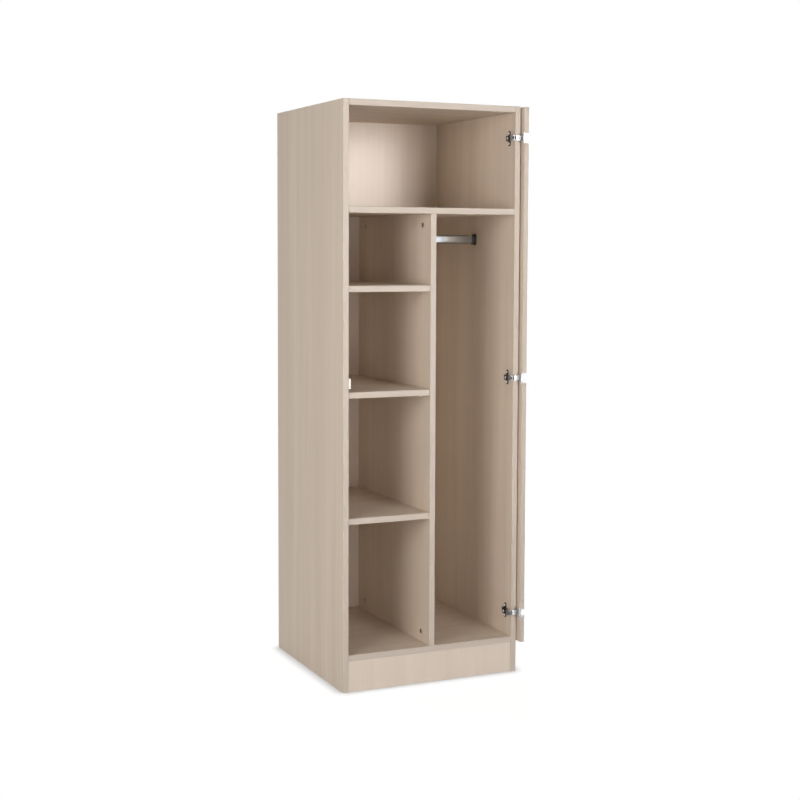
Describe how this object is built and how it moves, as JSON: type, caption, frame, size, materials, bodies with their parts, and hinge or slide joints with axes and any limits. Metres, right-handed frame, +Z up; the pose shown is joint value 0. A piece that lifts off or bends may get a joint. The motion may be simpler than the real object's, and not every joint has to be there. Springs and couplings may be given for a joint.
{
  "type": "wardrobe",
  "caption": "Tall wardrobe in pale wood decor: hat compartment over a shelved side and a hanging side with an oval rail; the lockable door folds flat round the right side.",
  "frame": {"origin": "on the floor, under the middle of the part's box with the door folded back", "axes": "+Z up, the open front faces -Y, +X to the right seen from the front"},
  "size_m": [0.6292, 0.6038, 1.8],
  "materials": {
    "wood_decor": "pale melamine wood decor with a faint upright grain, matt",
    "back_decor": "thin board in the same pale decor, matt",
    "support_metal": "nickel-plated pressed steel",
    "cam_zinc": "plain zinc die-casting",
    "rail_chrome": "bright chrome",
    "hinge_nickel": "bright nickel plating",
    "pull_aluminium": "satin anodised"
  },
  "bodies": {
    "cabinet": {"left_side_panel": "wood_decor", "right_side_panel": "wood_decor", "top_panel": "wood_decor", "hat_shelf": "wood_decor", "bottom_panel": "wood_decor", "partition": "wood_decor", "plinth_board": "wood_decor", "back_panel": "back_decor", "lower_shelf": "wood_decor", "middle_shelf": "wood_decor", "upper_shelf": "wood_decor", "support_lower_left_front": "support_metal", "support_lower_left_rear": "support_metal", "support_lower_right_front": "support_metal", "support_lower_right_rear": "support_metal", "support_middle_left_front": "support_metal", "support_middle_left_rear": "support_metal", "support_middle_right_front": "support_metal", "support_middle_right_rear": "support_metal", "support_upper_left_front": "support_metal", "support_upper_left_rear": "support_metal", "support_upper_right_front": "support_metal", "support_upper_right_rear": "support_metal", "cam_top_panel_left_front": "cam_zinc", "cam_top_panel_left_rear": "cam_zinc", "cam_top_panel_right_front": "cam_zinc", "cam_top_panel_right_rear": "cam_zinc", "cam_hat_shelf_left_front": "cam_zinc", "cam_hat_shelf_left_rear": "cam_zinc", "cam_hat_shelf_right_front": "cam_zinc", "cam_hat_shelf_right_rear": "cam_zinc", "cam_bottom_panel_left_front": "cam_zinc", "cam_bottom_panel_left_rear": "cam_zinc", "cam_bottom_panel_right_front": "cam_zinc", "cam_bottom_panel_right_rear": "cam_zinc", "cam_partition_hat_shelf_front": "cam_zinc", "cam_partition_hat_shelf_rear": "cam_zinc", "cam_partition_bottom_panel_front": "cam_zinc", "cam_partition_bottom_panel_rear": "cam_zinc", "coat_rail": "rail_chrome", "rail_socket_left": "rail_chrome", "rail_socket_right": "rail_chrome", "hinge_plate_top": "hinge_nickel", "hinge_arm_top": "hinge_nickel", "hinge_pin_top": "hinge_nickel", "hinge_plate_middle": "hinge_nickel", "hinge_arm_middle": "hinge_nickel", "hinge_pin_middle": "hinge_nickel", "hinge_plate_bottom": "hinge_nickel", "hinge_arm_bottom": "hinge_nickel", "hinge_pin_bottom": "hinge_nickel", "strike_plate": "hinge_nickel"},
    "door": {"door_panel": "wood_decor", "hinge_cup_top": "hinge_nickel", "hinge_cup_middle": "hinge_nickel", "hinge_cup_bottom": "hinge_nickel", "lock_body": "hinge_nickel", "flush_pull": "pull_aluminium"},
    "lock": {"lock_rotor": "hinge_nickel", "lock_tongue": "hinge_nickel"}
  },
  "joints": [
    {"name": "door_hinge", "type": "hinge", "parent": "cabinet", "child": "door", "pos_m": [0.28695, -0.29863, 0.948], "axis": [0, 0, 1], "range_deg": [-270, 0]},
    {"name": "lock_turn", "type": "hinge", "parent": "door", "child": "lock", "pos_m": [0.28945, 0.26087, 0.948], "axis": [-1, 0, 0], "range_deg": [0, 90]}
  ]
}
